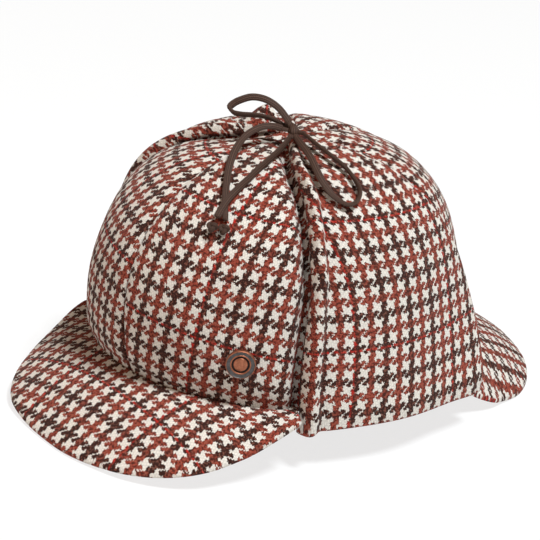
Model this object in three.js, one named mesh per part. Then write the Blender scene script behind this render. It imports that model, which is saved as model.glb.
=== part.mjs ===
// A deerstalker hat: six crown panels, a brim in front and one behind, two ear flaps that are tied up
// over the crown with a lace in a bow, and a round metal badge.
// Millimetres, +Z up. The front of the hat faces -Y and it rests on z = 0 by the edges of its brims.
import * as THREE from 'three';

// Driving dimensions
const GAP = 0.3; // clearance between neighbouring pieces
const CENTRE_Y = -2; // centre of the head oval, so that the whole hat is centred on the origin
const HALF_WIDTH = 86; // head oval at the rim, outside
const HALF_LENGTH = 102;
const RIM_HEIGHT = 27.6; // mean height of the seam between crown and brims
const RIM_SADDLE = 1.5; // how far that seam rises at the front and back and falls at the sides
const CROWN_HEIGHT = 132.5;
const CROWN_LEAN = -9.5; // the top of the crown sits this far towards the front
const CROWN_SQUARENESS = 2.75; // 2 is a round dome, more is boxier
const CROWN_FULLNESS = { all: -0.05, front: 0.065, ends: 0.045 }; // share of the radius at mid height
const CROWN_WALL = 2;
const BRIM_THICKNESS = 2.6;
const BRIM_ARCH = 3.2; // how far a brim bulges above the straight line from rim to edge
const FRONT_BRIM_SWAY = 1.8; // the edge of the front brim sits this far towards the left
const FLAP_THICKNESS = { rim: 2.6, tip: 1.4 };
const FLAP_STAND_OFF = 0.8; // a flap lies this far off the crown, so that their facets stay apart
const FLAP_ROLL = { all: 1.3, foot: 2.2 }; // extra thickness of the rolled front edge, and more at its foot
const FLAP_HANG = { corners: 7.4, middle: 4.9 }; // the folded lower edge of a flap hangs this far below the rim
const LACE_DIAMETER = 2.4;
const KNOT = { centre: [11.5, -28, 139.6], radii: [4.2, 3.6, 2.9] };
const END_KNOT_RADIUS = 2.6;
const BADGE = { turn: 38.5, climb: 12, radius: 6.8, thickness: 2.4, standOff: 0.7 };

// The panels run from the rim to the top, between seams at these turns from the front
const PANELS = [
  { name: 'crown_front_left', from: 0, to: 60 },
  { name: 'crown_side_left', from: 60, to: 120 },
  { name: 'crown_back_left', from: 120, to: 180 },
  { name: 'crown_back_right', from: 180, to: 240 },
  { name: 'crown_side_right', from: 240, to: 300 },
  { name: 'crown_front_right', from: 300, to: 360 },
];
const PANEL_CLIMBS = [0, 8, 16, 24, 31, 38, 45, 52, 59, 66, 73, 79, 84, 87.5];
const PANEL_COLUMNS = 8;

// Outer edges of the brims: turn from the brim's own middle, reach out from the rim, height
const FRONT_BRIM = [
  { turn: 0, reach: 42.9, height: 0 },
  { turn: 15, reach: 41.2, height: 1.2 },
  { turn: 30, reach: 35.5, height: 5.9 },
  { turn: 42, reach: 26.2, height: 13.4 },
  { turn: 50, reach: 16.6, height: 21.3 },
  { turn: 54.5, reach: 9.6, height: 25.4 },
];
const BACK_BRIM = [
  { turn: 0, reach: 47, height: 7.5 },
  { turn: 18, reach: 45, height: 4.2 },
  { turn: 30, reach: 38, height: 1 },
  { turn: 38, reach: 29.5, height: 0 },
  { turn: 46, reach: 16, height: 2.8 },
  { turn: 53, reach: 4.5, height: 9.5 },
  { turn: 58.6, reach: 1.2, height: 17 },
];
const BRIM_COLUMNS = 28;
const BRIM_ROWS = [0, 0.2, 0.4, 0.6, 0.8, 0.955, 1];
const REST = { lip: 0.955, within: 0.15 }; // from here out the underside is level, where it comes this low

// Ear flap edges, from the rim to the tip under the knot, as turn and climb on the crown
const FLAP_EDGES = [
  { frontTurn: 55, frontClimb: 0, backTurn: 121, backClimb: 0 },
  { frontTurn: 54.5, frontClimb: 10, backTurn: 125, backClimb: 10 },
  { frontTurn: 55, frontClimb: 20, backTurn: 126.5, backClimb: 20 },
  { frontTurn: 56, frontClimb: 30, backTurn: 125, backClimb: 30 },
  { frontTurn: 55.5, frontClimb: 38, backTurn: 121.5, backClimb: 38 },
  { frontTurn: 54.5, frontClimb: 46, backTurn: 116.5, backClimb: 46 },
  { frontTurn: 53.5, frontClimb: 53, backTurn: 112, backClimb: 53 },
  { frontTurn: 51, frontClimb: 59, backTurn: 109.5, backClimb: 59 },
  { frontTurn: 47, frontClimb: 65, backTurn: 104.5, backClimb: 64.5 },
  { frontTurn: 43, frontClimb: 71, backTurn: 96, backClimb: 70 },
  { frontTurn: 38, frontClimb: 77, backTurn: 85, backClimb: 75.5 },
  { frontTurn: 30, frontClimb: 82, backTurn: 68, backClimb: 81 },
  { frontTurn: 22, frontClimb: 85, backTurn: 40, backClimb: 85.5 },
];
const FLAP_COLUMNS = [0, 0.04, 0.09, 0.16, 0.26, 0.38, 0.5, 0.62, 0.74, 0.86, 0.94, 1];

// Routes of the lace, from the knot outwards; a loop comes back to it
const LACE_ROUTES = {
  tie_loop_back: [
    [9.5, -28.7, 142.6], [6.8, -29.1, 144.9], [3, -30.6, 148.2], [-1, -33.1, 150.6], [-4.4, -35.8, 151.6],
    [-7.7, -39.1, 151.4], [-10.3, -42.7, 149.7], [-11.9, -45.3, 147.9], [-12, -47.7, 145.9],
    [-9.4, -47.3, 144.3], [-6.9, -44.8, 143.9], [-4.2, -41.6, 144.1], [-1.6, -38.3, 144.2],
    [0.8, -34.8, 143.6], [3.4, -31.2, 142.2], [5.6, -28.6, 140.6],
  ],
  tie_loop_front: [
    [17, -30.6, 138.2], [21.5, -32.8, 137.7], [28, -35.2, 136.6], [35.6, -37.8, 134.2],
    [41, -39.8, 131.6], [45.5, -40.9, 129], [49.2, -41, 126.5], [52.6, -40.3, 124], [56, -38.1, 121.6],
    [58.3, -35, 120], [59, -31.2, 120.2], [57.7, -27.1, 122.1], [54.9, -24.6, 124.9],
    [51.4, -24.2, 127.6], [44.6, -24.4, 131.6], [37, -26.6, 135.2], [29.1, -28, 137.8],
    [23.4, -28, 139.3], [17.2, -27.2, 140.2],
  ],
  tie_tail_long: [
    [8.4, -31.4, 139.9], [6.4, -33, 140.3], [4.2, -35.4, 140.5], [2.6, -39, 140.1], [1.9, -42.9, 139],
    [1.9, -46.6, 137.7], [2.8, -51, 135.7], [4.6, -55.3, 133.7], [7.3, -60, 131.2], [11.2, -65.2, 127.9],
    [15.8, -70.3, 124.2], [21.1, -75.2, 120.2], [25.8, -79.5, 115.8], [29.8, -82, 112.4],
    [32.2, -83.9, 110],
  ],
  tie_tail_short: [
    [14.3, -32, 137.9], [15.6, -35.2, 136.7], [17.2, -39.2, 135], [18.6, -43.6, 133.2],
    [19.8, -48.5, 131.2], [20.9, -53.6, 129.1], [22.1, -59, 127], [23.5, -63.8, 125],
    [24.6, -68.6, 123.1], [25.8, -72.8, 121.4], [26.9, -76.8, 119.7], [27.9, -80.8, 117.2],
    [28.8, -84.2, 114], [29.6, -86.9, 111],
  ],
};
const LACE_STEPS = { tie_loop_back: 24, tie_loop_front: 34, tie_tail_long: 28, tie_tail_short: 24 };
const END_KNOTS = {
  tie_end_long: [34.2, -86, 107.2],
  tie_end_short: [30.6, -89.8, 107.6],
};

// Colours of the cloth, the lace and the metal
const TWEED = { color: 0x9c6a58, roughness: 0.95, metalness: 0 };
const LACE = { color: 0x4b372d, roughness: 0.8, metalness: 0 };
const COPPER = { color: 0x7a4a35, roughness: 0.4, metalness: 0.9 };

const radians = THREE.MathUtils.degToRad;

// Height of the seam between crown and brims at a turn from the front
function rimHeight(turn) {
  return RIM_HEIGHT + RIM_SADDLE * Math.cos(2 * radians(turn));
}

// A point on the crown: turn round the head from the front, climb from the rim to the top, and offset
// outwards from the outer face of the cloth
function crownPoint(turn, climb, offset = 0, side = 1) {
  const around = radians(turn);
  const up = radians(climb);
  const k = CROWN_SQUARENESS;
  const size = (Math.cos(up) ** k + Math.sin(up) ** k) ** (-1 / k);
  const inward = size * Math.cos(up);
  const rise = size * Math.sin(up);
  const { all, front, ends } = CROWN_FULLNESS;
  const swell = all + front * Math.cos(around) + ends * Math.cos(2 * around);
  const radius = inward * (1 + swell * Math.sin(Math.PI * Math.min(rise, 1)));
  return new THREE.Vector3(
    side * (HALF_WIDTH + offset) * Math.sin(around) * radius,
    CENTRE_Y - (HALF_LENGTH + offset) * Math.cos(around) * radius + CROWN_LEAN * rise,
    rimHeight(turn) * (1 - rise) + (CROWN_HEIGHT + offset) * rise,
  );
}

// Outward direction of the crown at a point
function crownNormal(turn, climb) {
  const step = 0.5;
  const along = crownPoint(turn + step, climb).sub(crownPoint(turn - step, climb));
  const upward = crownPoint(turn, climb + step).sub(crownPoint(turn, climb - step));
  return along.cross(upward).normalize();
}

// A closed wall from a surface with an outer layer 0 and an inner layer 1; a pointed wall ends in one
// corner on its last row
function closedWall(surface, columns, rows, pointed = false) {
  const corners = [];
  const layers = [0, 1].map((layer) => rows.map((row, r) => {
    const tip = pointed && r === rows.length - 1;
    let shared = -1;
    return columns.map((column) => {
      if (tip && shared >= 0) return shared;
      corners.push(surface(column, row, layer));
      shared = corners.length - 1;
      return shared;
    });
  }));
  const faces = [];
  const addQuad = (a, b, c, d) => faces.push([a, b, c], [a, c, d]);
  const [outer, inner] = layers;
  const lastRow = rows.length - 1;
  const lastColumn = columns.length - 1;
  for (let r = 0; r < lastRow; r += 1) {
    for (let c = 0; c < lastColumn; c += 1) {
      addQuad(outer[r][c], outer[r][c + 1], outer[r + 1][c + 1], outer[r + 1][c]);
      addQuad(inner[r][c], inner[r + 1][c], inner[r + 1][c + 1], inner[r][c + 1]);
    }
    addQuad(outer[r][0], outer[r + 1][0], inner[r + 1][0], inner[r][0]);
    addQuad(outer[r][lastColumn], inner[r][lastColumn], inner[r + 1][lastColumn], outer[r + 1][lastColumn]);
  }
  for (let c = 0; c < lastColumn; c += 1) {
    addQuad(outer[0][c], inner[0][c], inner[0][c + 1], outer[0][c + 1]);
    addQuad(outer[lastRow][c], outer[lastRow][c + 1], inner[lastRow][c + 1], inner[lastRow][c]);
  }
  const whole = faces.filter(([a, b, c]) => a !== b && b !== c && c !== a);
  const geometry = new THREE.BufferGeometry();
  geometry.setAttribute('position', new THREE.Float32BufferAttribute(corners.flatMap((p) => p.toArray()), 3));
  geometry.setIndex(whole.flat());
  return geometry;
}

// Evenly spaced numbers from 0 to 1
function steps(count) {
  return Array.from({ length: count + 1 }, (_, i) => i / count);
}

// Smooth value of one named column of a table at a place between its rows
function columnAt(table, key, column, at) {
  let i = 1;
  while (i < table.length - 1 && table[i][key] < at) i += 1;
  const before = table[i - 1];
  const after = table[i];
  const slope = (j) => {
    const low = table[Math.max(j - 1, 0)];
    const high = table[Math.min(j + 1, table.length - 1)];
    return (high[column] - low[column]) / (high[key] - low[key]);
  };
  const span = after[key] - before[key];
  const t = (at - before[key]) / span;
  const startSlope = key === 'turn' && i === 1 ? 0 : slope(i - 1);
  return (2 * t ** 3 - 3 * t ** 2 + 1) * before[column] + (t ** 3 - 2 * t ** 2 + t) * span * startSlope
    + (3 * t ** 2 - 2 * t ** 3) * after[column] + (t ** 3 - t ** 2) * span * slope(i);
}

// One crown panel: a wedge of cloth that reaches down behind the brim and ends in a point on top
function crownPanel({ name, from, to }) {
  const rows = [{ climb: 0, drop: BRIM_THICKNESS }, ...PANEL_CLIMBS.map((climb) => ({ climb, drop: 0 })), 'tip'];
  const halfGap = THREE.MathUtils.radToDeg(GAP / 2 / HALF_WIDTH);
  const middle = (from + to) / 2;
  const tipRadius = 0.6;
  const surface = (across, row, layer) => {
    const offset = -CROWN_WALL * layer;
    if (row === 'tip') {
      const tip = crownPoint(middle, 90, offset);
      tip.x += tipRadius * Math.sin(radians(middle));
      tip.y -= tipRadius * Math.cos(radians(middle));
      return tip;
    }
    const turn = from + halfGap + across * (to - from - 2 * halfGap);
    const point = crownPoint(turn, row.climb, offset);
    point.z -= row.drop;
    return point;
  };
  return clothPiece(name, closedWall(surface, steps(PANEL_COLUMNS), rows, true));
}

// A brim: a crescent of stiffened cloth from the rim out and down to its edge
function brim(name, table, facing, sway = 0) {
  const halfSpan = table[table.length - 1].turn;
  const surface = (across, outward, layer) => {
    const ownTurn = (2 * across - 1) * halfSpan;
    const turn = facing + ownTurn;
    const inner = crownPoint(turn, 0, GAP);
    const reach = columnAt(table, 'turn', 'reach', Math.abs(ownTurn));
    const edge = crownPoint(turn, 0, reach);
    edge.z = columnAt(table, 'turn', 'height', Math.abs(ownTurn)) + BRIM_THICKNESS;
    const point = inner.lerp(edge, outward);
    const share = reach / table[0].reach;
    point.x += sway * outward * (1 - (ownTurn / halfSpan) ** 4);
    point.z += BRIM_ARCH * share * Math.sin(Math.PI * outward);
    point.z -= BRIM_THICKNESS * layer;
    const rests = layer === 1 && outward >= REST.lip && edge.z - BRIM_THICKNESS < REST.within;
    if (rests) point.z = 0;
    return point;
  };
  const geometry = closedWall((across, outward, layer) => surface(across, outward, 1 - layer),
    steps(BRIM_COLUMNS), BRIM_ROWS);
  return clothPiece(name, geometry);
}

// An ear flap: folded up from the rim, where its lower edge hangs down, to a tip under the knot
function earFlap(name, side) {
  const ledge = BRIM_THICKNESS + GAP;
  const rows = [
    { edge: FLAP_EDGES[0], hang: 1, inner: -CROWN_WALL },
    { edge: FLAP_EDGES[0], drop: ledge + 0.2, inner: -CROWN_WALL },
    { edge: FLAP_EDGES[0], drop: ledge, inner: FLAP_STAND_OFF },
    ...FLAP_EDGES.map((edge) => ({ edge, inner: FLAP_STAND_OFF })),
  ];
  const surface = (across, { edge, drop = 0, hang = 0, inner }, layer) => {
    const u = side > 0 ? across : 1 - across;
    const turn = THREE.MathUtils.lerp(edge.frontTurn, edge.backTurn, u);
    const climb = THREE.MathUtils.lerp(edge.frontClimb, edge.backClimb, u);
    const thickness = THREE.MathUtils.lerp(FLAP_THICKNESS.rim, FLAP_THICKNESS.tip, climb / 90);
    const roll = FLAP_ROLL.all * Math.cos(radians(climb)) + FLAP_ROLL.foot * Math.exp(-((climb / 18) ** 2));
    const outer = FLAP_STAND_OFF + thickness + roll * Math.exp(-((u / 0.07) ** 2));
    const point = crownPoint(turn, climb, layer === 0 ? outer : inner, side);
    const { corners, middle } = FLAP_HANG;
    point.z -= drop + hang * (corners - (corners - middle) * Math.sin(Math.PI * u));
    return point;
  };
  const columns = side > 0 ? FLAP_COLUMNS : FLAP_COLUMNS.map((u) => 1 - u).reverse();
  return clothPiece(name, closedWall(surface, columns, rows));
}

function clothPiece(name, geometry) {
  return namedMesh(name, geometry, TWEED);
}

function namedMesh(name, geometry, finish) {
  const mesh = new THREE.Mesh(geometry, new THREE.MeshStandardMaterial(finish));
  mesh.name = name;
  return mesh;
}

// A run of lace: a tube along its route
function laceRun(name) {
  const path = new THREE.CatmullRomCurve3(LACE_ROUTES[name].map((p) => new THREE.Vector3(...p)), false, 'centripetal');
  const sides = 8;
  const corners = steps(sides).slice(0, sides).map((t) => new THREE.Vector2(
    (LACE_DIAMETER / 2) * Math.cos(2 * Math.PI * t),
    (LACE_DIAMETER / 2) * Math.sin(2 * Math.PI * t),
  ));
  const geometry = new THREE.ExtrudeGeometry(new THREE.Shape(corners), {
    steps: LACE_STEPS[name],
    extrudePath: path,
    bevelEnabled: false,
  });
  return namedMesh(name, geometry, LACE);
}

// A knot of lace: a rounded lump
function laceKnot(name, centre, radii) {
  const geometry = new THREE.SphereGeometry(1, 16, 10);
  geometry.scale(...radii);
  const mesh = namedMesh(name, geometry, LACE);
  mesh.position.set(...centre);
  return mesh;
}

// The badge: a round metal button with a raised rim, an inner ring and a plain domed middle
function badge() {
  const { radius, thickness, turn, climb, standOff } = BADGE;
  const profile = [
    [0, 0], [radius - 0.5, 0], [radius, 0.5], [radius, thickness - 0.4], [radius - 0.4, thickness],
    [radius - 0.9, thickness - 0.1], [radius - 1.2, thickness - 0.6], [4.9, thickness - 0.7],
    [4.6, thickness - 0.3], [4.1, thickness - 0.3], [3.8, thickness - 0.9], [3, thickness - 0.9],
    [2.8, thickness - 0.5], [1.5, thickness - 0.2], [0, thickness - 0.1],
  ];
  const geometry = new THREE.LatheGeometry(profile.map(([r, h]) => new THREE.Vector2(r, h)), 32);
  const mesh = namedMesh('side_badge', geometry, COPPER);
  const normal = crownNormal(turn, climb);
  mesh.position.copy(crownPoint(turn, climb).addScaledVector(normal, standOff));
  mesh.quaternion.setFromUnitVectors(new THREE.Vector3(0, 1, 0), normal);
  return mesh;
}

const group = new THREE.Group();
PANELS.forEach((panel) => group.add(crownPanel(panel)));
group.add(brim('brim_front', FRONT_BRIM, 0, FRONT_BRIM_SWAY));
group.add(brim('brim_back', BACK_BRIM, 180));
group.add(earFlap('ear_flap_left', 1));
group.add(earFlap('ear_flap_right', -1));
group.add(badge());
group.add(laceKnot('tie_knot', KNOT.centre, KNOT.radii));
Object.keys(LACE_ROUTES).forEach((name) => group.add(laceRun(name)));
Object.entries(END_KNOTS).forEach(([name, centre]) => {
  group.add(laceKnot(name, centre, [END_KNOT_RADIUS, END_KNOT_RADIUS, END_KNOT_RADIUS]));
});

export default group;
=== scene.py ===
# %% [markdown]
# # A tweed deerstalker hat
# The hat is six wedge-shaped crown panels, a brim in front and one behind, and two ear flaps that are
# folded up and tied over the crown with a lace. A small metal badge sits on its left front. We start
# from the measured frame, so that every piece we model goes exactly where the plain solid already is.

# %% Load the frame
import math

import bpy
import numpy as np
from mathutils import Matrix


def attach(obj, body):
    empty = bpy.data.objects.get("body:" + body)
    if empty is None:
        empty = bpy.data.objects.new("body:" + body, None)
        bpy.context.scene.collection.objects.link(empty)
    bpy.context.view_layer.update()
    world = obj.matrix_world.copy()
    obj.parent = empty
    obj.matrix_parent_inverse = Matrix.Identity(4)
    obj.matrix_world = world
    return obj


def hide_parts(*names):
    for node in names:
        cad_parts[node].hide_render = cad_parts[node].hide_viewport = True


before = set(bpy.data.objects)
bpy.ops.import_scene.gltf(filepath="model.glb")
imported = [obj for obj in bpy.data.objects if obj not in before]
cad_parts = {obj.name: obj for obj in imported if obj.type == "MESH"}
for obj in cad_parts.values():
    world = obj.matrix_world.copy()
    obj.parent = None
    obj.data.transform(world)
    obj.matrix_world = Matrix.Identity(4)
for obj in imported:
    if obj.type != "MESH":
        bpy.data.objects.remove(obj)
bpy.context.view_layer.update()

MM = 0.001

# %% [markdown]
# ## The camera
# The picture looks at the hat from its left front and a little from above, and the hat leans a few
# degrees in the frame, so the camera has some roll. A long lens keeps the shape free of distortion. The
# camera comes first, because every later decision is judged through it.

# %% Place the camera
FRAME_PIXELS = 540
SENSOR_WIDTH = 36
camera_data = bpy.data.cameras.new("camera")
camera_data.sensor_width = SENSOR_WIDTH
camera_data.lens = 1985.5 / FRAME_PIXELS * SENSOR_WIDTH
camera = bpy.data.objects.new("camera", camera_data)
camera.location = (0.6325, -0.6594, 0.3974)
camera.rotation_euler = [math.radians(angle) for angle in (69.537, -7.241, 47.343)]
bpy.context.scene.collection.objects.link(camera)
bpy.context.scene.camera = camera
print("lens", round(camera_data.lens, 1), "mm")

# %% [markdown]
# ## The shape of the crown
# Every cloth piece follows the crown, so its shape is one function. A point on it is found by a turn
# round the head from the front, a climb from the rim to the top, and an offset outwards. The side view
# is a squared circle, which is flatter on top and steeper at the sides than a round dome. Behind the bow
# it stands a few millimetres fuller, which was fitted to the outline in the picture.

# %% The crown as a function
CENTRE_Y = -2
HALF_WIDTH = 86
HALF_LENGTH = 102
RIM_HEIGHT = 27.6
RIM_SADDLE = 1.5
CROWN_HEIGHT = 132.5
CROWN_LEAN = -9.5
SQUARENESS = 2.75
SWELL = (-0.05, 0.065, 0.045)
FULL_TOP = {"x": -22, "y": 8, "width": 28, "height": 3.5}


def bump(distance, width):
    """1 at distance 0, falling smoothly to 0 over about twice the width."""
    return np.exp(-((distance / width) ** 2))


def crown(turn, climb, offset=0.0):
    """Points in millimetres. Angles are in degrees and may be arrays."""
    around, up = np.radians(turn), np.radians(climb)
    size = (np.cos(up) ** SQUARENESS + np.sin(up) ** SQUARENESS) ** (-1 / SQUARENESS)
    inward, rise = size * np.cos(up), size * np.sin(up)
    swell = SWELL[0] + SWELL[1] * np.cos(around) + SWELL[2] * np.cos(2 * around)
    radius = inward * (1 + swell * np.sin(np.pi * np.minimum(rise, 1)))
    rim = RIM_HEIGHT + RIM_SADDLE * np.cos(2 * around)
    x = (HALF_WIDTH + offset) * np.sin(around) * radius
    y = CENTRE_Y - (HALF_LENGTH + offset) * np.cos(around) * radius + CROWN_LEAN * rise
    z = rim * (1 - rise) + (CROWN_HEIGHT + offset) * rise
    z = z + FULL_TOP["height"] * bump(np.hypot(x - FULL_TOP["x"], y - FULL_TOP["y"]), FULL_TOP["width"])
    return np.stack(np.broadcast_arrays(x, y, z), -1)


def eased(t, width, start, start_slope, stop, stop_slope):
    """A cubic between two values with given slopes, at shares t of a span of that width."""
    return ((2 * t**3 - 3 * t**2 + 1) * start + (t**3 - 2 * t**2 + t) * width * start_slope
            + (3 * t**2 - 2 * t**3) * stop + (t**3 - t**2) * width * stop_slope)


def smooth_value(keys, values, at, level_start=False):
    """A smooth curve through the values of a table, read at any places between its keys."""
    keys, values = np.array(keys, float), np.array(values, float)
    slope = np.gradient(values, keys)
    slope[1:-1] = (values[2:] - values[:-2]) / (keys[2:] - keys[:-2])
    if level_start:
        slope[0] = 0
    span = np.clip(np.searchsorted(keys, at) - 1, 0, len(keys) - 2)
    width = keys[span + 1] - keys[span]
    t = np.clip((at - keys[span]) / width, 0, 1)
    return eased(t, width, values[span], slope[span], values[span + 1], slope[span + 1])


print("top of the crown", crown(0, 90).round(1))

# %% [markdown]
# ## Shaping a grid
# Cloth starts as a flat grid, as it does on the cutting table. A helper adds the grid with the grid
# operator and moves each of its points to a given place. Two such grids, one for the face and one for
# the back of the cloth, meet along their edges. Joined and merged, they are one closed wall with a
# rounded edge, which a plain extrusion would leave square.

# %% Helpers for shaped grids
def deselect_all():
    if bpy.context.object and bpy.context.object.mode != "OBJECT":
        bpy.ops.object.mode_set(mode="OBJECT")
    bpy.ops.object.select_all(action="DESELECT")


def shaped_grid(name, points, pattern=None):
    """A grid whose point in row r and column c is points[r, c] in millimetres, with pattern as its UV."""
    rows, columns = points.shape[0] - 1, points.shape[1] - 1
    deselect_all()
    bpy.ops.mesh.primitive_grid_add(x_subdivisions=columns, y_subdivisions=rows, size=2)
    piece = bpy.context.object
    piece.name = piece.data.name = name
    mesh = piece.data
    flat = np.empty(len(mesh.vertices) * 3)
    mesh.vertices.foreach_get("co", flat)
    flat = flat.reshape(-1, 3)
    column = np.rint((flat[:, 0] + 1) / 2 * columns).astype(int)
    row = np.rint((flat[:, 1] + 1) / 2 * rows).astype(int)
    mesh.vertices.foreach_set("co", (points[row, column] * MM).ravel())
    if pattern is not None:
        corners = np.empty(len(mesh.loops), dtype=np.int32)
        mesh.loops.foreach_get("vertex_index", corners)
        mesh.uv_layers.active.data.foreach_set("uv", pattern[row, column][corners].ravel())
    mesh.update()
    return piece


def joined(name, pieces, merge=2e-6):
    """Joins meshes into one, merges the points that meet and points its faces outwards."""
    deselect_all()
    for piece in pieces:
        piece.select_set(True)
    bpy.context.view_layer.objects.active = pieces[0]
    bpy.ops.object.join()
    piece = bpy.context.object
    piece.name = piece.data.name = name
    bpy.ops.object.mode_set(mode="EDIT")
    bpy.ops.mesh.select_all(action="SELECT")
    bpy.ops.mesh.remove_doubles(threshold=merge)
    bpy.ops.mesh.normals_make_consistent(inside=False)
    bpy.ops.object.mode_set(mode="OBJECT")
    bpy.ops.object.shade_smooth()
    return piece


def finish_piece(piece, slot, *nodes):
    """Hides the plain solids that the piece replaces and makes it move with the root. The slot is not used.
    """
    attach(piece, "root")
    if nodes:
        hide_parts(*nodes)
    print(piece.name, len(piece.data.polygons), "faces")


# %% [markdown]
# ## The lace
# The ear flaps are tied with a dark woven lace, about 3.3 mm wide and half as thick. Its routes are the
# same points as in the plain solids. A curve with a bevel would give a round cord that twists by
# itself, so the lace is swept by hand: at each step along a smooth path an oval is laid across it. The
# oval starts flat on the hat and turns as the real lace does. Fine ribs run along the lace.

# %% Sweep an oval along a smooth path
LACE_WIDTH = 3.3
LACE_THICKNESS = 1.7
LACE_RIBS = 12
LACE_AROUND = 60
RIB_DEPTH = 0.03
LACE_SQUARENESS = 0.85
END_TAPER = 1.2
HAT_MIDDLE = np.array([0.0, -8.0, 60.0])


def smooth_path(route, step=0.7):
    """Points every step millimetres or so on a smooth curve through the route."""
    route = np.array(route, dtype=float)
    chord = np.sqrt(np.linalg.norm(np.diff(route, axis=0), axis=1))
    at = np.concatenate([[0], np.cumsum(chord)])
    slope = np.empty_like(route)
    rate = np.diff(route, axis=0) / chord[:, None]
    slope[0], slope[-1] = rate[0], rate[-1]
    before, after = chord[:-1, None], chord[1:, None]
    slope[1:-1] = (rate[:-1] * after + rate[1:] * before) / (before + after)
    fine = np.linspace(0, at[-1], 40 * len(route))
    span = np.clip(np.searchsorted(at, fine) - 1, 0, len(route) - 2)
    width = chord[span]
    t = ((fine - at[span]) / width)[:, None]
    width = width[:, None]
    curve = eased(t, width, route[span], slope[span], route[span + 1], slope[span + 1])
    length = np.concatenate([[0], np.cumsum(np.linalg.norm(np.diff(curve, axis=0), axis=1))])
    count = int(length[-1] / step)
    even = np.linspace(0, length[-1], count + 1)
    return np.stack([np.interp(even, length, curve[:, k]) for k in range(3)], -1), length[-1]


def unit(vectors):
    return vectors / np.linalg.norm(vectors, axis=-1, keepdims=True)


def swept_lace(name, path, width=LACE_WIDTH, thickness=LACE_THICKNESS, closed=False, twist=(0, 0),
               round_what=HAT_MIDDLE):
    """An oval ribbed tube along path. Twist is how far it is turned from flat, at even steps along it."""
    along = unit(np.gradient(path, axis=0))
    if closed:
        along[0] = along[-1] = unit(path[1] - path[-2])
    outward = unit(path - round_what)
    outward = unit(outward - along * np.sum(outward * along, axis=1, keepdims=True))
    across = np.cross(along, outward)
    places, keys = np.linspace(0, 1, len(path)), np.linspace(0, 1, len(twist))
    turned = np.radians(np.interp(places, keys, twist))[:, None]
    across, outward = (across * np.cos(turned) + outward * np.sin(turned),
                       outward * np.cos(turned) - across * np.sin(turned))
    angle = np.linspace(0, 2 * np.pi, LACE_AROUND + 1)
    rib = 1 + RIB_DEPTH * np.cos(LACE_RIBS * angle)
    oval_x = width / 2 * np.sign(np.cos(angle)) * np.abs(np.cos(angle)) ** LACE_SQUARENESS * rib
    oval_y = thickness / 2 * np.sign(np.sin(angle)) * np.abs(np.sin(angle)) ** LACE_SQUARENESS * rib
    distance = np.concatenate([[0], np.cumsum(np.linalg.norm(np.diff(path, axis=0), axis=1))])
    end = np.minimum(distance, distance[-1] - distance)
    taper = np.ones_like(end) if closed else np.sqrt(1 - np.clip(1 - end / END_TAPER, 0, 1) ** 2)
    ring = across[:, None] * oval_x[None, :, None] + outward[:, None] * oval_y[None, :, None]
    points = path[:, None] + ring * taper[:, None, None]
    pattern = np.stack(np.broadcast_arrays(angle[None] / (2 * np.pi), distance[:, None]), -1)
    return joined(name, [shaped_grid(name, points, pattern)])


# %% Lay the four runs of lace
LACE_ROUTES = {
    "tie_loop_back": [
        (9.5, -28.7, 142.6), (6.8, -29.1, 144.9), (3, -30.6, 148.2), (-1, -33.1, 150.6),
        (-4.4, -35.8, 151.6), (-7.7, -39.1, 151.4), (-10.3, -42.7, 149.7), (-11.9, -45.3, 147.9),
        (-12, -47.7, 145.9), (-9.4, -47.3, 144.3), (-6.9, -44.8, 143.9), (-4.2, -41.6, 144.1),
        (-1.6, -38.3, 144.2), (0.8, -34.8, 143.6), (3.4, -31.2, 142.2), (5.6, -28.6, 140.6),
    ],
    "tie_loop_front": [
        (17, -30.6, 138.2), (21.5, -32.8, 137.7), (28, -35.2, 136.6), (35.6, -37.8, 134.2),
        (41, -39.8, 131.6), (45.5, -40.9, 129), (49.2, -41, 126.5), (52.6, -40.3, 124),
        (56, -38.1, 121.6), (58.3, -35, 120), (59, -31.2, 120.2), (57.7, -27.1, 122.1),
        (54.9, -24.6, 124.9), (51.4, -24.2, 127.6), (44.6, -24.4, 131.6), (37, -26.6, 135.2),
        (29.1, -28, 137.8), (23.4, -28, 139.3), (17.2, -27.2, 140.2),
    ],
    "tie_tail_long": [
        (8.4, -31.4, 139.9), (6.4, -33, 140.3), (4.2, -35.4, 140.5), (2.6, -39, 140.1),
        (1.9, -42.9, 139), (1.9, -46.6, 137.7), (2.8, -51, 135.7), (4.6, -55.3, 133.7),
        (7.3, -60, 131.2), (11.2, -65.2, 127.9), (15.8, -70.3, 124.2), (21.1, -75.2, 120.2),
        (25.8, -79.5, 115.8), (29.8, -82, 112.4), (32.2, -83.9, 110),
    ],
    "tie_tail_short": [
        (14.3, -32, 137.9), (15.6, -35.2, 136.7), (17.2, -39.2, 135), (18.6, -43.6, 133.2),
        (19.8, -48.5, 131.2), (20.9, -53.6, 129.1), (22.1, -59, 127), (23.5, -63.8, 125),
        (24.6, -68.6, 123.1), (25.8, -72.8, 121.4), (26.9, -76.8, 119.7), (27.9, -80.8, 117.2),
        (28.8, -84.2, 114), (29.6, -86.9, 111),
    ],
}
LACE_TWIST = {
    "tie_loop_back": (10, 45, 70, 60, 40),
    "tie_loop_front": (-15, -15, -10, 60, 115, 125, 130),
    "tie_tail_long": (45, 20, 40, 70),
    "tie_tail_short": (85, 75, 60, 35),
}
laces = {}
lace_paths = {}
for name, route in LACE_ROUTES.items():
    path, length = smooth_path(route)
    laces[name] = swept_lace(name.replace("tie", "lace"), path, twist=LACE_TWIST[name])
    lace_paths[name] = path
    print(name, round(length, 1), "mm of lace")

# %% [markdown]
# ## The knots
# The bow's knot is a turn of lace pulled tight over the strands beneath it: a rounded core, one wrap
# round it, and a short strand from the core to each place where a loop or a tail comes out. Each tail
# ends in an overhand knot. Its path is a trefoil, the simplest true knot, and the same sweep follows it.

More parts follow.
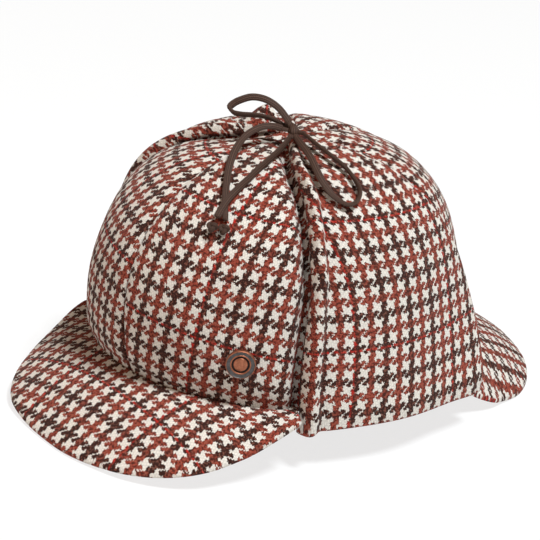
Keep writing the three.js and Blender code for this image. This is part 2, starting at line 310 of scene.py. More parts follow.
# %% Tie the knots
KNOT_CENTRE = np.array([11.5, -28, 139.6])
KNOT_CORE = (2.9, 2.7, 2.0)
KNOT_WRAP_RADII = (3.4, 2.3)
KNOT_WRAP_DIRECTION = (0.84, -0.55, -0.15)
KNOT_WRAP_THICKNESS = 1.5
STRAND_OVAL = (2.9, 1.5)
END_KNOT_SIZE = 0.62
END_KNOT_OVAL = (1.9, 1.7)
END_KNOTS = {
    "tie_end_long": (34.2, -86, 107.2),
    "tie_end_short": (30.6, -89.8, 107.6),
}


def knot_frame(centre):
    """Directions along the hat's surface and outwards at a knot."""
    outward = unit(np.array(centre) - HAT_MIDDLE)
    sideways = unit(np.cross((0, 0, 1), outward))
    return sideways, np.cross(outward, sideways), outward


def bow_knot():
    """A core of crossing strands and the turn of lace that holds them."""
    deselect_all()
    bpy.ops.mesh.primitive_uv_sphere_add(segments=40, ring_count=24, radius=MM, location=KNOT_CENTRE * MM)
    core = bpy.context.object
    core.scale = KNOT_CORE
    bpy.ops.object.transform_apply(location=True, rotation=True, scale=True)
    turn = np.linspace(0, 2 * np.pi, 61)
    first = unit(np.array(KNOT_WRAP_DIRECTION))
    outward = knot_frame(KNOT_CENTRE)[2]
    second = unit(outward - first * (outward @ first))
    wrap = KNOT_CENTRE + (KNOT_WRAP_RADII[0] * np.cos(turn)[:, None] * first
                          + KNOT_WRAP_RADII[1] * np.sin(turn)[:, None] * second)
    band = swept_lace("band", wrap, LACE_WIDTH, KNOT_WRAP_THICKNESS, closed=True, round_what=KNOT_CENTRE)
    exits = [path[:3] for path in lace_paths.values()]
    exits += [lace_paths[name][-3:][::-1] for name in ("tie_loop_back", "tie_loop_front")]
    strands = []
    for way_out in exits:
        inside = np.linspace(KNOT_CENTRE, way_out[0], 9)[:-1]
        strands.append(swept_lace("strand", np.concatenate([inside, way_out]), *STRAND_OVAL))
    return joined("lace_knot", [core, band, *strands])


def end_knot(name, centre):
    """An overhand knot: lace swept along a trefoil."""
    t = np.linspace(0, 2 * np.pi, 101)
    sideways, upward, outward = knot_frame(centre)
    flat_x = np.sin(t) + 2 * np.sin(2 * t)
    flat_y = np.cos(t) - 2 * np.cos(2 * t)
    loop = flat_x[:, None] * sideways + flat_y[:, None] * upward - 1.1 * np.sin(3 * t)[:, None] * outward
    return swept_lace(name, np.array(centre) + END_KNOT_SIZE * loop, *END_KNOT_OVAL, closed=True)


knot = bow_knot()
end_knots = {name: end_knot(name.replace("tie", "lace"), centre) for name, centre in END_KNOTS.items()}
finish_piece(knot, "lace", "tie_knot")
for name, piece in {**laces, **end_knots}.items():
    finish_piece(piece, "lace", name)

LACE_FACTS = {
    "tie_loop_back": ("object", []),
    "tie_loop_front": ("object", [knot]),
    "tie_tail_long": ("knot", [end_knots["tie_end_long"]]),
    "tie_tail_short": ("knot", [end_knots["tie_end_short"]]),
}
for name, (far_end, with_pieces) in LACE_FACTS.items():
    path = lace_paths[name] * MM
    length = float(np.linalg.norm(np.diff(path, axis=0), axis=1).sum())

# %% [markdown]
# ## Closed walls of cloth
# A wall needs to know how far each point is from the cloth's edges, because its two faces draw together
# there. Points are crowded near the edges, where the cloth turns, and spread evenly between them.

# %% Helpers for walls
EDGE_STEPS = 5
EDGE_TURN = 1.3
WAVES = 7
WAVES_ADD_UP_TO = 2.6


def spread(count, length, turn=EDGE_TURN):
    """Places from 0 to 1 along a cloth of that length, or one row of places for each of several lengths."""
    share = np.minimum(turn / np.asarray(length, dtype=float)[..., None], 0.15)
    bend = 1 - np.cos(np.linspace(0, np.pi / 2, EDGE_STEPS + 1))[:-1]
    middle = np.linspace(0, 1, count - 2 * EDGE_STEPS + 1)
    return np.concatenate([share * bend, share + (1 - 2 * share) * middle, 1 - share * bend[::-1]], axis=-1)


def rounding(distance, turn):
    """0 on the edge of the cloth and 1 beyond turn millimetres from it, along a quarter of a circle."""
    return np.sqrt(1 - np.clip(1 - distance / turn, 0, 1) ** 2)


def fullness(across, up, width, height, turn=EDGE_TURN):
    """How far the two faces of a cloth stand apart near any of its four edges."""
    side = rounding(np.minimum(across, 1 - across) * width, turn)
    return side * rounding(np.minimum(up, 1 - up) * height, turn)


def laid_out(points, middle_column, first_row=0):
    """Distances in millimetres on the flat cloth: across from one column, and up from one row."""
    steps = np.linalg.norm(np.diff(points, axis=1), axis=2)
    across = np.concatenate([np.zeros((len(points), 1)), np.cumsum(steps, axis=1)], axis=1)
    across -= across[:, middle_column:middle_column + 1]
    climbs = np.linalg.norm(np.diff(points[:, middle_column], axis=0), axis=1)
    up = np.concatenate([[0], np.cumsum(climbs)])
    up -= up[first_row]
    return across, np.broadcast_to(up[:, None], across.shape)


def cloth_wall(name, face, back, pattern):
    """A closed wall from the points of its face and back, with its four corners trimmed."""
    for sheet in (face, back):
        for row in (0, -1):
            sheet[row, 0] = sheet[row, 1]
            sheet[row, -1] = sheet[row, -2]
    return joined(name, [shaped_grid(name, face, pattern), shaped_grid("back", back, pattern)])


def ripple(points, size, height, seed):
    """Slow uneven lumps about size apart and height tall, as a sum of a few waves."""
    rng = np.random.default_rng(seed)
    total = np.zeros(points.shape[:-1])
    for _ in range(WAVES):
        wave = rng.normal(size=3)
        wave *= 2 * np.pi / size / np.linalg.norm(wave) * rng.uniform(0.6, 1.5)
        total += np.sin(points @ wave + rng.uniform(0, 2 * np.pi))
    return total * height / WAVES_ADD_UP_TO


# %% [markdown]
# ## The crown panels
# Six wedges are sewn edge to edge from the rim to the top. Along each seam the cloth dips, because the
# stitches pull it inwards, and so it does along the rim and where an ear flap's front edge presses on
# it. Each wedge is one wall, made by the same function with its own pair of seams. The check runs a few
# degrees off each wedge's middle line.

# %% Sew the crown
YARN_ACROSS, YARN_UP = 0.88, 0.942
CROWN_WALL = 2.0
PANEL_GRID = {"columns": 96, "rows": 104}
PANEL_HEIGHT = 150
TOP_CLIMB = 89.6
SEAM_DIP = {"depth": 0.9, "width": 2.6}
CROWN_PANELS = {
    "crown_front_left": (0, 60),
    "crown_side_left": (60, 120),
    "crown_back_left": (120, 180),
    "crown_back_right": (180, 240),
    "crown_side_right": (240, 300),
    "crown_front_right": (300, 360),
}
GRAIN_TILT = 7.5
PANEL_PHASE = {
    "crown_front_left": (27.3, -21.9),
    "crown_front_right": (13.0, 9.0),
}
SEAM_GAP = 0.09
HIDDEN_SHARE = 0.02
HIDDEN_DROP = 3
RIM_TUCK = 2.6
DEGREE_AT_RIM = 1.6
FLARE_AT_RIM = 0.75
TUCK_HOLLOW = {"depth": 3.0, "width": 5.5}
TUCK_FOLD = {"depth": 4.6, "width": 2.6}
FLAP_FRONT = {
    "turn": (55.6, 55.3, 56, 57, 56.6, 55.6, 54.4, 51.7, 47.5, 43.3, 38, 30, 22),
    "climb": (0, 10, 20, 30, 38, 46, 53, 59, 65, 71, 77, 82, 85),
}


def rim_flare(turn):
    """The rim stands a little fuller on the far side of the front."""
    return 3.3 * bump(turn - 326, 20)


def flap_tuck(turn, climb, degree):
    """How far the ear flap's front edge presses the crown in. A degree is so many millimetres there."""
    from_edge = np.abs(np.abs(turn - 180) - 180) - np.interp(climb, FLAP_FRONT["climb"], FLAP_FRONT["turn"])
    distance = from_edge * degree + 0.8
    depth = sum(part["depth"] * bump(distance, part["width"]) for part in (TUCK_HOLLOW, TUCK_FOLD))
    return depth * np.clip((84 - climb) / 12, 0, 1)


def rim_face(turn):
    """Where the outside of the sewn crown stands along its rim, which the brims are sewn to."""
    return FLARE_AT_RIM * rim_flare(turn) - RIM_TUCK - flap_tuck(turn, 0, DEGREE_AT_RIM)


def crown_panel(name, start, stop):
    """One wedge of the crown between two seams, given as turns. Its foot hides behind the brim or flap."""
    up = spread(PANEL_GRID["rows"], PANEL_HEIGHT)[:, None]
    climb = np.clip((up - HIDDEN_SHARE) / (1 - HIDDEN_SHARE), 0, 1) * TOP_CLIMB
    drop = np.clip(1 - up / HIDDEN_SHARE, 0, 1) * HIDDEN_DROP
    breadth = np.linalg.norm(crown(stop, climb) - crown(start, climb), axis=-1)
    across = spread(PANEL_GRID["columns"], breadth[:, 0])
    turn = start + SEAM_GAP + across * (stop - start - 2 * SEAM_GAP)
    middle = crown(turn, climb, -CROWN_WALL / 2)
    from_seam = np.minimum(across, 1 - across) * breadth
    lift = -SEAM_DIP["depth"] * bump(from_seam, SEAM_DIP["width"])
    lift = lift * np.clip(breadth / 12, 0, 1) * (1 - bump(climb, 3))
    lift += rim_flare(turn) * (FLARE_AT_RIM * bump(climb, 18) + (1 - FLARE_AT_RIM) * bump(climb - 28, 16))
    lift -= RIM_TUCK * bump(climb, 2.8)
    lift -= flap_tuck(turn, climb, breadth / (stop - start))
    lift += ripple(middle, 55, 0.5, 11) * (1 - bump(from_seam, 8)) * (1 - bump(climb, 8))
    half = CROWN_WALL / 2 * fullness(across, up, breadth, PANEL_HEIGHT, np.minimum(1.0, breadth * 0.15))
    face = crown(turn, climb, lift - CROWN_WALL / 2 + half)
    back = crown(turn, climb, lift - CROWN_WALL / 2 - half)
    face[..., 2] -= drop
    back[..., 2] -= drop
    width, height = laid_out(face, face.shape[1] // 2)
    tilt, shift = math.radians(GRAIN_TILT), PANEL_PHASE.get(name, (0.0, 0.0))
    pattern = np.stack([(width * math.cos(tilt) - height * math.sin(tilt)) / YARN_ACROSS + shift[0],
                        (height * math.cos(tilt) + width * math.sin(tilt)) / YARN_UP + shift[1]], -1)
    return cloth_wall(name.replace("crown", "panel"), face, back, pattern)


panels = {name: crown_panel(name, *seams) for name, seams in CROWN_PANELS.items()}
for name, panel in panels.items():
    finish_piece(panel, "tweed", name)

# %% [markdown]
# ## The brims
# Each brim is a stiffened crescent, sewn to the rim and turned under at its edge. Its outline is a short
# table of how far it reaches and how high it stands at each turn from its own middle, the same on both
# sides. A second table nudges the edge by up to 2.6 mm, which was fitted to the outline in the picture.
# The cloth arches between rim and edge. The check runs straight with the hat, not round the brim.

# %% Shape the brims
BRIM_THICKNESS = 2.6
BRIM_ARCH = 3.2
BRIM_GRID = {"columns": 170, "rows": 44}
BRIM_LENGTH, BRIM_BREADTH = 190, 45
BRIM_HEM = {"inset": 7.5, "depth": 0.25, "width": 0.7}
BRIM_YARNS = np.array([0.96, 0.8])
FRONT_BRIM = {
    "turn": (0, 15, 30, 42, 50, 55.3),
    "reach": (42.9, 41.2, 35.5, 26.2, 16.6, 9.6),
    "height": (0, 1.2, 5.9, 13.4, 21.3, 25.4),
}
BACK_BRIM = {
    "turn": (0, 18, 30, 38, 46, 53, 58.6),
    "reach": (47, 45, 38, 29.5, 16, 4.5, 1.2),
    "height": (7.5, 4.2, 1, 0, 2.8, 9.5, 17),
}
FRONT_NUDGE = {
    "turn": (-54, -45, -36, -28, -20, -12, -4, 4, 12, 20, 28, 35, 42, 50, 55),
    "reach": (0.5, -2.4, -1.6, 0.4, 1.2, -0.7, -1.8, -1, -0.2, 1.7, 2.4, 1.4, -1.6, -0.5, 0),
}
BACK_NUDGE = {
    "turn": (-59, -50, -46, -42, -35, -28, -20, -13, -8, -3, 3, 12, 25, 59),
    "reach": (0, 1.5, 0, -2.6, -2.2, -1.4, -0.8, -0.2, 0.8, 1.5, 1.8, 1, 0, 0),
}


def folded_over(distance, turn, sheet):
    """How much further out the check runs than the plan shows, where the cloth turns round the edge."""
    angle = np.arccos(np.clip(1 - distance / turn, 0, 1))
    return np.where(distance < turn, turn * (np.pi / 2 - sheet * angle) - (turn - distance), 0)


def brim(name, table, nudge, facing, sway, phase):
    """A brim whose middle faces the given turn. Sway moves its edge sideways and phase shifts its check."""
    half_span = table["turn"][-1]
    across = spread(BRIM_GRID["columns"], BRIM_LENGTH)[None]
    out = spread(BRIM_GRID["rows"], BRIM_BREADTH)[:, None]
    own_turn = (2 * across - 1) * half_span
    turn = facing + own_turn
    reach = smooth_value(table["turn"], table["reach"], np.abs(own_turn), True)
    reach = reach + smooth_value(nudge["turn"], nudge["reach"], own_turn)
    inner = crown(turn, 0, rim_face(turn) + 0.1)
    edge = crown(turn, 0, reach)
    edge[..., 2] = smooth_value(table["turn"], table["height"], np.abs(own_turn), True) + BRIM_THICKNESS / 2
    inner[..., 2] -= BRIM_THICKNESS / 2
    middle = inner + (edge - inner) * out[..., None]
    share = reach / table["reach"][0]
    middle[..., 2] += BRIM_ARCH * share * np.sin(np.pi * out)
    middle[..., 0] += sway * out * (1 - (own_turn / half_span) ** 4)
    middle[..., 2] += ripple(middle, 60, 0.35, 5) * np.sin(np.pi * out) * share
    half = BRIM_THICKNESS / 2 * fullness(across, out, BRIM_LENGTH, BRIM_BREADTH)
    hem = BRIM_HEM["depth"] * bump(out * reach - reach + BRIM_HEM["inset"], BRIM_HEM["width"]) * share
    face, back = middle.copy(), middle.copy()
    face[..., 2] += half - hem * (half > 1)
    back[..., 2] -= half
    back[..., 2] = np.maximum(back[..., 2], 0.02)
    outward = unit(edge - inner)[..., :2]
    sheets = []
    for points, sheet in ((face, 1), (back, -1)):
        plan = middle[..., :2] + outward * folded_over((1 - out) * reach, EDGE_TURN, sheet)[..., None]
        sheets.append(shaped_grid(name, points, plan / BRIM_YARNS + phase))
    return joined(name, sheets)


brim_front = brim("peak_front", FRONT_BRIM, FRONT_NUDGE, 0, 1.8, (-25.0, 28.6))
brim_back = brim("peak_back", BACK_BRIM, BACK_NUDGE, 180, 0, (0.0, 0.0))
finish_piece(brim_front, "tweed", "brim_front")
finish_piece(brim_back, "tweed", "brim_back")

# %% [markdown]
# ## The ear flaps
# A flap is folded up from the rim, where its lower edge hangs a little below the seam. It narrows to a
# tip under the knot. Its front edge is a thick soft roll that presses into the crown, with a shallow
# crease behind it, and its rear lower corner stands away. The two flaps mirror each other, but the far
# one's tip curls up.

# %% Fold the flaps
FLAP_EDGES = {
    "front_turn": FLAP_FRONT["turn"],
    "front_climb": FLAP_FRONT["climb"],
    "back_turn": (121, 125, 126.5, 125, 121.5, 116.5, 112, 109.5, 104.5, 96, 85, 68, 40),
    "back_climb": (0, 10, 20, 30, 38, 46, 53, 59, 64.5, 70, 75.5, 81, 85.5),
}
FLAP_STAND_OFF = 0.8
EDGE_LEVEL = -1.8
FLAP_THICKNESS = (2.6, 1.4)
FLAP_HANG = (8.6, 5.9)
FLAP_CORNER_DROP = 1.6
HEM_SHARE = 0.055
FLAP_GRID = {"columns": 96, "rows": 128}
FLAP_HEIGHT = 160
ROLL_WIDTH = {"climb": (0, 20, 40, 60, 80), "value": (10.2, 10, 8, 6, 4)}
ROLL_HEIGHT = {"climb": (0, 15, 40, 70, 85), "value": (4.2, 3.8, 3.3, 2.2, 0.3)}
LIP_WIDTH = {"climb": (0, 50, 80), "value": (5.6, 5.0, 2.5)}
CREASE = {"depth": 0.9, "width": 3.0}
REAR_CURL = {"height": 6.0, "climb": 4, "climb_width": 24, "width": 18}
FAR_TIP_CURL = {"height": 9.5, "width": 9}
NEAR_TIP_CURL = {"height": 2.6, "width": 20}
FLAP_PHASE = (46.6, -17.3)
FAR_TIP = np.array([14.5, -19.0, 134.0])
NEAR_TIP = np.array([12.0, -8.0, 134.0])
FLAP_YARNS = (1.06, 0.955)


def by_climb(table, climb):
    return np.interp(climb, table["climb"], table["value"])


def flap_wall(name, side):
    """One folded flap. Side is 1 for the near flap and -1 for the far one, which is its mirror image."""
    up = spread(FLAP_GRID["rows"], FLAP_HEIGHT, 2.2)[:, None]
    rows = np.arange(len(FLAP_EDGES["front_turn"]))
    row = np.clip((up - HEM_SHARE) / (1 - HEM_SHARE), 0, 1) * rows[-1]
    edge = {key: smooth_value(rows, values, row) for key, values in FLAP_EDGES.items()}
    front = crown(edge["front_turn"], edge["front_climb"])
    rear = crown(edge["back_turn"], edge["back_climb"])
    across = spread(FLAP_GRID["columns"], np.linalg.norm(rear - front, axis=-1)[:, 0], 4.5)
    turn = edge["front_turn"] + across * (edge["back_turn"] - edge["front_turn"])
    climb = edge["front_climb"] + across * (edge["back_climb"] - edge["front_climb"])
    middle = crown(turn, climb, 2.0)
    from_front, _ = laid_out(middle, 0)
    from_rear = from_front[:, -1:] - from_front
    hem = np.clip(1 - up / HEM_SHARE, 0, 1)
    hang = FLAP_HANG[0] - (FLAP_HANG[0] - FLAP_HANG[1]) * np.sin(np.pi * across)
    drop = hem * (hang + FLAP_CORNER_DROP * bump(across, 0.08))
    thickness = FLAP_THICKNESS[0] + (FLAP_THICKNESS[1] - FLAP_THICKNESS[0]) * climb / 90
    roll_width, roll_height = by_climb(ROLL_WIDTH, climb), by_climb(ROLL_HEIGHT, climb)
    if side < 0:
        roll_height = roll_height + 2.0 * bump(climb - 32, 12) - 1.9 * bump(climb - 58, 10)
    over_roll = np.clip(from_front / roll_width, 0, 1)
    roll = roll_height * np.sin(np.pi * over_roll) ** np.where(over_roll < 0.5, 0.7, 1.3)
    roll -= CREASE["depth"] * bump(from_front - roll_width, CREASE["width"])
    ledge = np.clip(hem * 3, 0, 1)
    inner = FLAP_STAND_OFF * (1 - ledge) - 1.9 * ledge
    outer = FLAP_STAND_OFF + thickness + roll
    outer = outer + ripple(middle, 60, 0.35, 21) * over_roll
    width_here = from_front[:, -1:]
    lip = rounding(from_front, np.minimum(by_climb(LIP_WIDTH, climb), width_here * 0.2))
    inner = EDGE_LEVEL + (inner - EDGE_LEVEL) * lip
    outer = EDGE_LEVEL + (outer - EDGE_LEVEL) * lip
    full = rounding(from_rear, np.minimum(1.6, width_here * 0.2))
    full = full * rounding(np.minimum(up, 1 - up) * FLAP_HEIGHT, 1.8)
    centre, half = (inner + outer) / 2, (outer - inner) / 2 * full
    curl = REAR_CURL["height"] * bump(climb - REAR_CURL["climb"], REAR_CURL["climb_width"])
    curl = curl * bump(from_rear, REAR_CURL["width"])
    tip, tip_curl = (FAR_TIP, FAR_TIP_CURL) if side < 0 else (NEAR_TIP, NEAR_TIP_CURL)
    curl = curl + tip_curl["height"] * bump(np.linalg.norm(middle - tip, axis=-1), tip_curl["width"])
    if side < 0:
        curl = curl - 1.2 * bump(climb - 77, 7)
    face = crown(turn, climb, centre + half + curl)
    back = crown(turn, climb, centre - half + curl)
    for sheet in (face, back):
        sheet[..., 2] -= drop
        sheet[..., 0] *= side
    width, height = laid_out(face, int(face.shape[1] * 0.5), int(len(up) * HEM_SHARE) + 4)
    pattern = np.stack([width / FLAP_YARNS[0] * side + FLAP_PHASE[0],
                        height / FLAP_YARNS[1] + FLAP_PHASE[1]], -1)
    return cloth_wall(name, face, back, pattern)


flap_left = flap_wall("flap_left", 1)
flap_right = flap_wall("flap_right", -1)
for flap, node in ((flap_left, "ear_flap_left"), (flap_right, "ear_flap_right")):
    finish_piece(flap, "tweed", node)

# %% [markdown]
# ## The badge
# The badge is a small pressed button. Turned parts are easily built from rings: we start with a disc,
# and extrude and scale its face again and again, following a table of radii and heights.

# %% Turn the badge
BADGE_TURN, BADGE_CLIMB = 38.5, 12
BADGE_LIFT = 0.7
BADGE_PROFILE = (
    (6.5, 0.0), (6.8, 0.3), (6.8, 1.9), (6.65, 2.2), (6.4, 2.3), (6.2, 2.2), (6.1, 1.95), (4.75, 1.8),
    (4.65, 1.95), (4.5, 2.05), (4.3, 2.05), (4.15, 1.95), (4.05, 1.5), (3.35, 1.45), (3.2, 1.55),
    (3.1, 1.85), (2.9, 1.95), (1.6, 2.1), (0.4, 2.15),
)


def pressed_badge():
    deselect_all()
    radius, height = BADGE_PROFILE[0]
    bpy.ops.mesh.primitive_circle_add(vertices=96, radius=radius * MM, fill_type="NGON", location=(0, 0, 0))
    piece = bpy.context.object
    piece.name = piece.data.name = "badge"
    bpy.ops.object.mode_set(mode="EDIT")
    bpy.ops.mesh.select_all(action="SELECT")
    for next_radius, next_height in BADGE_PROFILE[1:]:
        rise = (next_height - height) * MM
        bpy.ops.mesh.extrude_region_move(TRANSFORM_OT_translate={"value": (0, 0, rise)})
        scale = next_radius / radius
        bpy.ops.transform.resize(value=(scale, scale, 1))
        radius, height = next_radius, next_height
    bpy.ops.mesh.select_all(action="SELECT")
    bpy.ops.mesh.normals_make_consistent(inside=False)
    bpy.ops.object.mode_set(mode="OBJECT")
    bpy.ops.object.shade_smooth_by_angle(angle=math.radians(50))
    return piece


def place_on_crown(piece, turn, climb, lift):
    """Turns the piece's Z outwards, puts it on the crown and applies its place to the mesh."""
    spot = crown(turn, climb)
    along = crown(turn + 0.5, climb) - crown(turn - 0.5, climb)
    upward = crown(turn, climb + 0.5) - crown(turn, climb - 0.5)
    outward = unit(np.cross(along, upward))
    sideways = unit(along)
    axes = np.stack([sideways, np.cross(outward, sideways), outward], -1)
    place = np.eye(4)
    place[:3, :3] = axes
    place[:3, 3] = (spot + outward * lift) * MM
    piece.matrix_world = Matrix(place.tolist())
    deselect_all()
    piece.select_set(True)
    bpy.context.view_layer.objects.active = piece
    bpy.ops.object.transform_apply(location=True, rotation=True, scale=True)


badge = pressed_badge()
BADGE_ZONES = ((6.3, 0), (4.75, 1), (4.05, 0), (3.25, 2), (0, 0))
badge_zone = [next(zone for limit, zone in BADGE_ZONES if face.center.xy.length / MM >= limit)
              for face in badge.data.polygons]
place_on_crown(badge, BADGE_TURN, BADGE_CLIMB, BADGE_LIFT)
finish_piece(badge, "copper", "side_badge")

# %% [markdown]
# ## Writing shader maths as formulas
# A weave is arithmetic: which yarn am I on, and which yarn is on top? Wired by hand that is dozens of
# Math nodes. A small class wraps a socket and turns +, -, *, %, < and > into those nodes, so that the
# weave can be written as the formula it is.

# %% A socket with operators
class Value:
    def __init__(self, nodes, socket):
        self.nodes = nodes
        self.socket = socket

    def math(self, operation, *others):
        return self.nodes.add("ShaderNodeMath", {"operation": operation}, self, *others)

    def __add__(self, other):
        return self.math("ADD", other)

    def __radd__(self, other):
        return self.nodes.add("ShaderNodeMath", {"operation": "ADD"}, other, self)

    def __sub__(self, other):
        return self.math("SUBTRACT", other)

    def __rsub__(self, other):
        return self.nodes.add("ShaderNodeMath", {"operation": "SUBTRACT"}, other, self)

    def __mul__(self, other):
        return self.math("MULTIPLY", other)

    def __rmul__(self, other):
        return self.nodes.add("ShaderNodeMath", {"operation": "MULTIPLY"}, other, self)

    def __mod__(self, other):
        return self.math("FLOORED_MODULO", other)

    def __lt__(self, other):
        return self.math("LESS_THAN", other)

    def __gt__(self, other):
        return self.math("GREATER_THAN", other)

    def floor(self):
        return self.math("FLOOR")

    def sine(self):
        return self.math("SINE")

    def between(self, low, high):
        """The value kept from going below low or above high."""
        return self.math("MINIMUM", high).math("MAXIMUM", low)


class Nodes:
    """The nodes of one new material."""

    def __init__(self, name):
        self.material = bpy.data.materials.new(name)
        self.material.use_nodes = True
        self.tree = self.material.node_tree
        self.tree.nodes.clear()
        self.output = self.tree.nodes.new("ShaderNodeOutputMaterial")

    def add(self, kind, settings=None, *inputs, **named):
        """Adds a node. inputs go to its sockets in order, named ones by name; its first output returns."""
        node = self.tree.nodes.new(kind)
        for key, value in (settings or {}).items():
            setattr(node, key, value)
        sockets = [socket for socket in node.inputs if socket.enabled]
        for socket, value in zip(sockets, inputs):
            self.feed(socket, value)
        for key, value in named.items():
            self.feed(node.inputs[key.replace("_", " ")], value)
        outputs = [socket for socket in node.outputs if socket.enabled]
        return Value(self, outputs[0])

    def feed(self, socket, value):
        if isinstance(value, Value):
            self.tree.links.new(value.socket, socket)
        elif value is not None:
            socket.default_value = value

    def blend(self, share, first, second):
        """A mix of two colours."""
        mix = self.tree.nodes.new("ShaderNodeMix")
        mix.data_type = "RGBA"
        for index, value in ((0, share), (6, first), (7, second)):
            self.feed(mix.inputs[index], value)
        return Value(self, mix.outputs[2])

    def split(self, vector):
        """X, Y and Z of a vector."""
        parts = self.tree.nodes.new("ShaderNodeSeparateXYZ")
        self.feed(parts.inputs[0], vector)
        return [Value(self, parts.outputs[k]) for k in range(3)]

    def shader(self, **values):
        """A Principled surface as this material's finish."""
        surface = self.add("ShaderNodeBsdfPrincipled", None, **values)
        self.tree.links.new(surface.socket, self.output.inputs["Surface"])
        return self.material


def linear(red, green, blue):
    """A colour picked on a screen, as the linear values that shaders use."""
    levels = (red, green, blue)
    return tuple(((c / 255 + 0.055) / 1.055) ** 2.4 if c > 10 else c / 3294 for c in levels) + (1,)


# %% [markdown]
# ## The tweed
# The cloth is a dogtooth check in a two-and-two twill: each yarn goes over two and under two, one step
# further along on every row. The weft runs four cream yarns, four rust, four cream and four dark brown.
# The warp runs five cream to three coloured. Every fourth dark stripe holds one bright red yarn. The
# famous tooth is not drawn anywhere: it appears by itself where the stripes cross in twill. Raised
# coloured fibres then cover a little of the cream beside them. The UV map counts yarns.

# %% Weave the tweed
CREAM = linear(245, 238, 228)
RUST = linear(168, 72, 55)
DARK = linear(60, 33, 27)
RED = linear(208, 40, 32)
DARK_SPECK = linear(62, 35, 29)
PALE_SPECK = linear(166, 104, 86)
CHECK_YARNS = 16.0
RED_REPEAT, RED_YARN = 64.0, 13
WANDER = 1.6
COVER_TAIL = 0.32
COVER_BAND = 0.28
UNDER_SHOWS = 0.3


def yarn_colour(n, yarn, cream_count):
    """The colour of a yarn by its number, and whether it is coloured rather than cream."""
    in_check = yarn % CHECK_YARNS
    is_rust = (in_check > cream_count - 0.5) * (in_check < 7.5)
    is_dark = in_check > cream_count + 7.5
    is_red = ((yarn % RED_REPEAT) - RED_YARN).math("ABSOLUTE") < 0.5
    colour = n.blend(is_red, n.blend(is_dark, n.blend(is_rust, CREAM, RUST), DARK), RED)
    return colour, is_rust + is_dark


def cloth_at(n, u, v):
    """What shows at a place: its colour, if that is not cream, if the warp is on top, and the height."""
    warp, weft = u.floor(), v.floor()
    across_u, across_v = u - warp, v - weft
    step = (warp - weft) % 4.0
    warp_on_top = step < 1.5
    along = ((1 - step + across_v) * warp_on_top + (step - 2 + across_u) * (1 - warp_on_top)) * 0.5
    across = across_u * warp_on_top + across_v * (1 - warp_on_top)
    height = (across * math.pi).sine() * (along * math.pi).sine()
    warp_colour, warp_coloured = yarn_colour(n, warp, 5)
    weft_colour, weft_coloured = yarn_colour(n, weft, 4)
    under = warp_coloured * weft_coloured * UNDER_SHOWS
    colour = n.blend(warp_on_top + under * (1 - 2 * warp_on_top), weft_colour, warp_colour)
    coloured = warp_coloured * warp_on_top + weft_coloured * (1 - warp_on_top)
    return colour, coloured, warp_on_top, height


def tweed():
    """The cloth: yarns that wander a little, the twill, raised fibres over it, specks of other wool, and
    painted shade in the gaps between the yarns.
    """
    n = Nodes("tweed")
    place = n.add("ShaderNodeUVMap", {"uv_map": "UVMap"})
    flat = {"noise_dimensions": "2D"}
    wander_u = n.add("ShaderNodeTexNoise", flat, Vector=place, Scale=1.3, Detail=4.0, Roughness=0.7)
    wander_v = n.add("ShaderNodeTexNoise", flat, Vector=place, Scale=1.7, Detail=4.0, Roughness=0.7)
    fibres = n.add("ShaderNodeTexNoise", flat, Vector=place, Scale=0.75, Detail=3.0, Roughness=0.6)
    u, v, _ = n.split(place)
    u = u + (wander_u - 0.5) * WANDER
    v = v + (wander_v - 0.5) * WANDER
    colour, coloured, warp_on_top, height = cloth_at(n, u, v)
    reach = (fibres - 0.5) * 1.2 + (1 - warp_on_top) * COVER_BAND + COVER_TAIL
    for side in (1, -1):
        cover, cover_coloured, _, _ = cloth_at(n, u + reach * side, v - reach * side)
        colour = n.blend((1 - coloured) * cover_coloured, colour, cover)
        coloured = coloured.math("MAXIMUM", cover_coloured)
    dark_specks = ((fibres - 0.5) * 12).between(0.0, 0.85)
    pale_specks = ((0.46 - fibres) * 12).between(0.0, 0.8)
    colour = n.blend(dark_specks * coloured, colour, DARK_SPECK)
    colour = n.blend(pale_specks * coloured * 0.7, colour, PALE_SPECK)
    # Painted shade: the colour is darker where each yarn dips into the gaps beside it, and the fibres add a
    # random tone on top.
    painted_gap_shade_and_tone = (0.64 + height.math("MAXIMUM", 0.0) * 0.22) * (1 + (fibres - 0.5) * 0.3)
    colour = n.add("ShaderNodeVectorMath", {"operation": "SCALE"}, colour, Scale=painted_gap_shade_and_tone)
    relief = n.add("ShaderNodeBump", None, Strength=0.5, Distance=0.0004, Height=height * 0.6 + fibres)
    return n.shader(Base_Color=colour, Roughness=0.92, Normal=relief, Sheen_Weight=0.05, Sheen_Roughness=0.5,
                    Specular_IOR_Level=0.12)


tweed_cloth = tweed()
for piece in [*panels.values(), brim_front, brim_back, flap_left, flap_right]:
    piece.data.materials.clear()
    piece.data.materials.append(tweed_cloth)

# %% [markdown]
# ## The lace and the metal
# The lace is a tight flat braid: fine ribs run along it, crossed by the small steps of the yarns. The
# badge is aged copper, with darkened metal between its rings.

# %% Finish the lace and the badge
LACE_BROWN = linear(84, 58, 45)
# The darker lace colour is painted shade for the grooves of the braid.
LACE_GROOVE_SHADE = linear(32, 20, 16)
LACE_FLECK = linear(126, 97, 79)


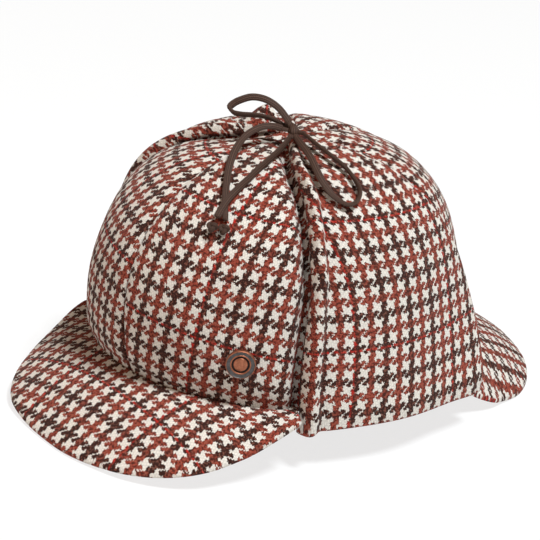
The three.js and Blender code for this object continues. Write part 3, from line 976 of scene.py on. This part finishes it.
def lace_braid():
    n = Nodes("lace")
    u, v, _ = n.split(n.add("ShaderNodeUVMap", {"uv_map": "UVMap"}))
    rib = ((u * LACE_RIBS + 0.25) * (2 * math.pi)).sine() * 0.5 + 0.5
    plait = ((u * (LACE_RIBS * math.pi) + v * 6.0).sine() * 0.5 + 0.5)
    grain = n.add("ShaderNodeTexNoise", {"noise_dimensions": "3D"},
                  Vector=n.add("ShaderNodeCombineXYZ", None, u * 30.0, v * 1.4, 0.0), Scale=1.6, Detail=4.0)
    # Painted shade: the colour darkens in the grooves between the ribs and at the braid's steps. Paler
    # flecks show only on the tops of the ribs.
    colour = n.blend(rib * 0.75 + plait * 0.25, LACE_GROOVE_SHADE, LACE_BROWN)
    colour = n.blend((grain > 0.62) * rib * 0.5, colour, LACE_FLECK)
    height = rib * 0.7 + plait * 0.3 + grain * 0.3
    relief = n.add("ShaderNodeBump", None, Strength=0.5, Distance=0.0003, Height=height)
    return n.shader(Base_Color=colour, Roughness=0.68, Normal=relief, Specular_IOR_Level=0.3)


def metal(name, colour, worn, roughness):
    """Metal whose tone and polish vary in small patches."""
    n = Nodes(name)
    coordinates = n.add("ShaderNodeTexCoord").socket.node
    place = Value(n, coordinates.outputs["Object"])
    patches = n.add("ShaderNodeTexNoise", None, Vector=place, Scale=700.0, Detail=6.0, Roughness=0.65)
    tint = n.blend((patches - 0.4) * 2.2, colour, worn)
    relief = n.add("ShaderNodeBump", None, Strength=0.25, Distance=0.0001, Height=patches)
    return n.shader(Base_Color=tint, Metallic=0.85, Roughness=patches * 0.3 + roughness, Normal=relief)


lace_material = lace_braid()
for piece in [knot, *laces.values(), *end_knots.values()]:
    piece.data.materials.clear()
    piece.data.materials.append(lace_material)
badge.data.materials.clear()
for material in (metal("aged_copper", linear(176, 112, 84), linear(104, 62, 46), 0.3),
                 metal("gunmetal", linear(98, 96, 96), linear(62, 58, 58), 0.4),
                 metal("dark_recess", linear(52, 46, 44), linear(34, 30, 30), 0.5)):
    badge.data.materials.append(material)
badge.data.polygons.foreach_set("material_index", badge_zone)

# %% [markdown]
# ## Floor and light
# The hat stands on a plain pale floor in soft studio light. A large light from the right and above
# models the folds. A much weaker warm one fills in from the left, and so do the dim warm surroundings.
# The floor gives off light of its own, so that it stays as white as studio paper without a bright lamp.

# %% Set the stage
deselect_all()
bpy.ops.mesh.primitive_plane_add(size=30, location=(0, 0, 0))
floor = bpy.context.object
floor.name = floor.data.name = "floor"
paper = Nodes("floor_paper")
paper_white = paper.shader(Base_Color=linear(124, 124, 124), Roughness=0.9,
                           Emission_Color=(1, 1, 1, 1), Emission_Strength=0.76)
floor.data.materials.append(paper_white)

world = bpy.data.worlds.new("studio")
bpy.context.scene.world = world
world.use_nodes = True
surroundings = world.node_tree.nodes["Background"].inputs
surroundings["Color"].default_value = (1, 0.88, 0.76, 1)
surroundings["Strength"].default_value = 0.2
bpy.context.scene.view_settings.view_transform = "Standard"

LIGHTS = {
    "key": {"place": (1.4, 0.0, 3.2), "size": 0.75, "power": 149, "colour": (0.93, 0.975, 1)},
    "fill": {"place": (-0.3, -1.5, 0.8), "size": 1.2, "power": 5, "colour": (1, 0.62, 0.38)},
}
for name, light in LIGHTS.items():
    data = bpy.data.lights.new(name, "AREA")
    data.size = light["size"]
    data.energy = light["power"]
    data.color = light["colour"]
    lamp = bpy.data.objects.new(name, data)
    lamp.location = light["place"]
    direction = lamp.location.normalized()
    lamp.rotation_euler = direction.to_track_quat("Z", "Y").to_euler()
    bpy.context.scene.collection.objects.link(lamp)
